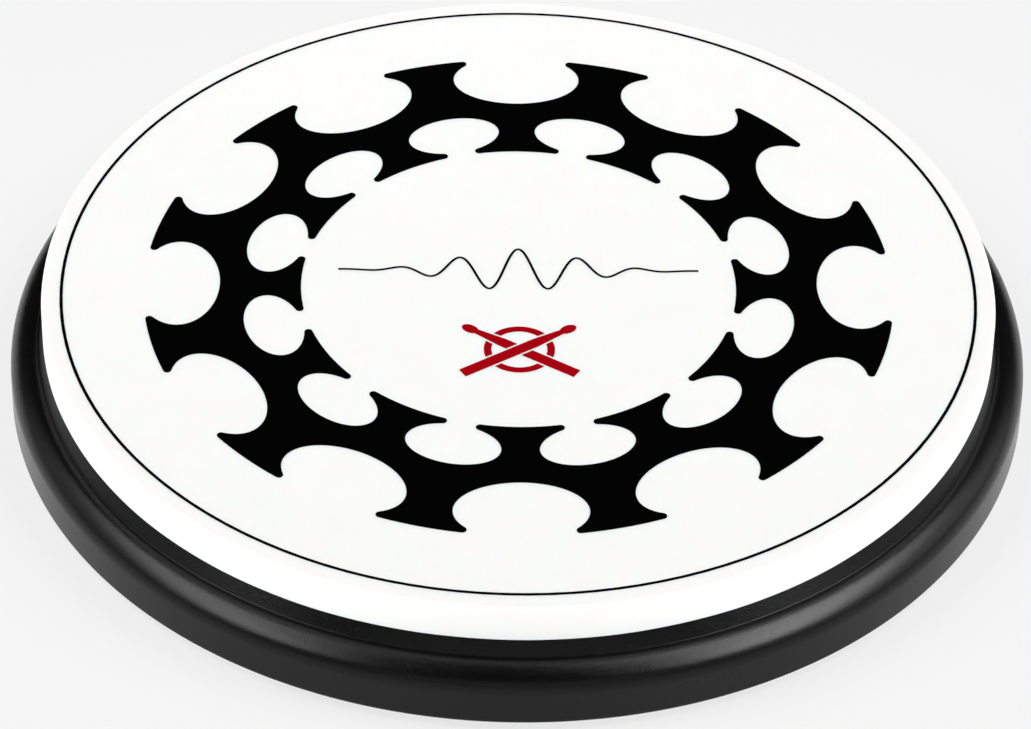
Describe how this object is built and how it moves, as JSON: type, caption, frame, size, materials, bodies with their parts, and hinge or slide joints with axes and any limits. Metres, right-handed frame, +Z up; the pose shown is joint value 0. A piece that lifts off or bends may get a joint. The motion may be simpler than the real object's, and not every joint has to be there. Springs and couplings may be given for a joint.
{
  "type": "practice pad",
  "caption": "Round drum practice pad: a white rubber playing disc with printed rings on a stepped black board, over a non-slip mat.",
  "frame": {"origin": "centre of the mat's underside, on the surface that the pad rests on", "axes": "+Z up, through the middle of the playing face; +X to the player's right; -Y towards the player"},
  "size_m": [0.3048, 0.3048, 0.037],
  "materials": {
    "board_lacquer": "satin black lacquer with a fine orange peel, over fibreboard",
    "pad_rubber": "white rubber, smooth with a soft sheen",
    "adhesive": "cured contact adhesive",
    "mat_rubber": "matt black foam rubber with a fine pore",
    "black_ink": "black screen ink",
    "red_ink": "deep red screen ink"
  },
  "bodies": {
    "root": {"base_board": "board_lacquer", "playing_pad": "pad_rubber", "pad_adhesive": "adhesive", "base_mat": "mat_rubber", "mat_adhesive": "adhesive", "ring_print": "black_ink", "border_print": "black_ink", "wave_print": "black_ink", "sticks_print": "red_ink"}
  },
  "joints": []
}
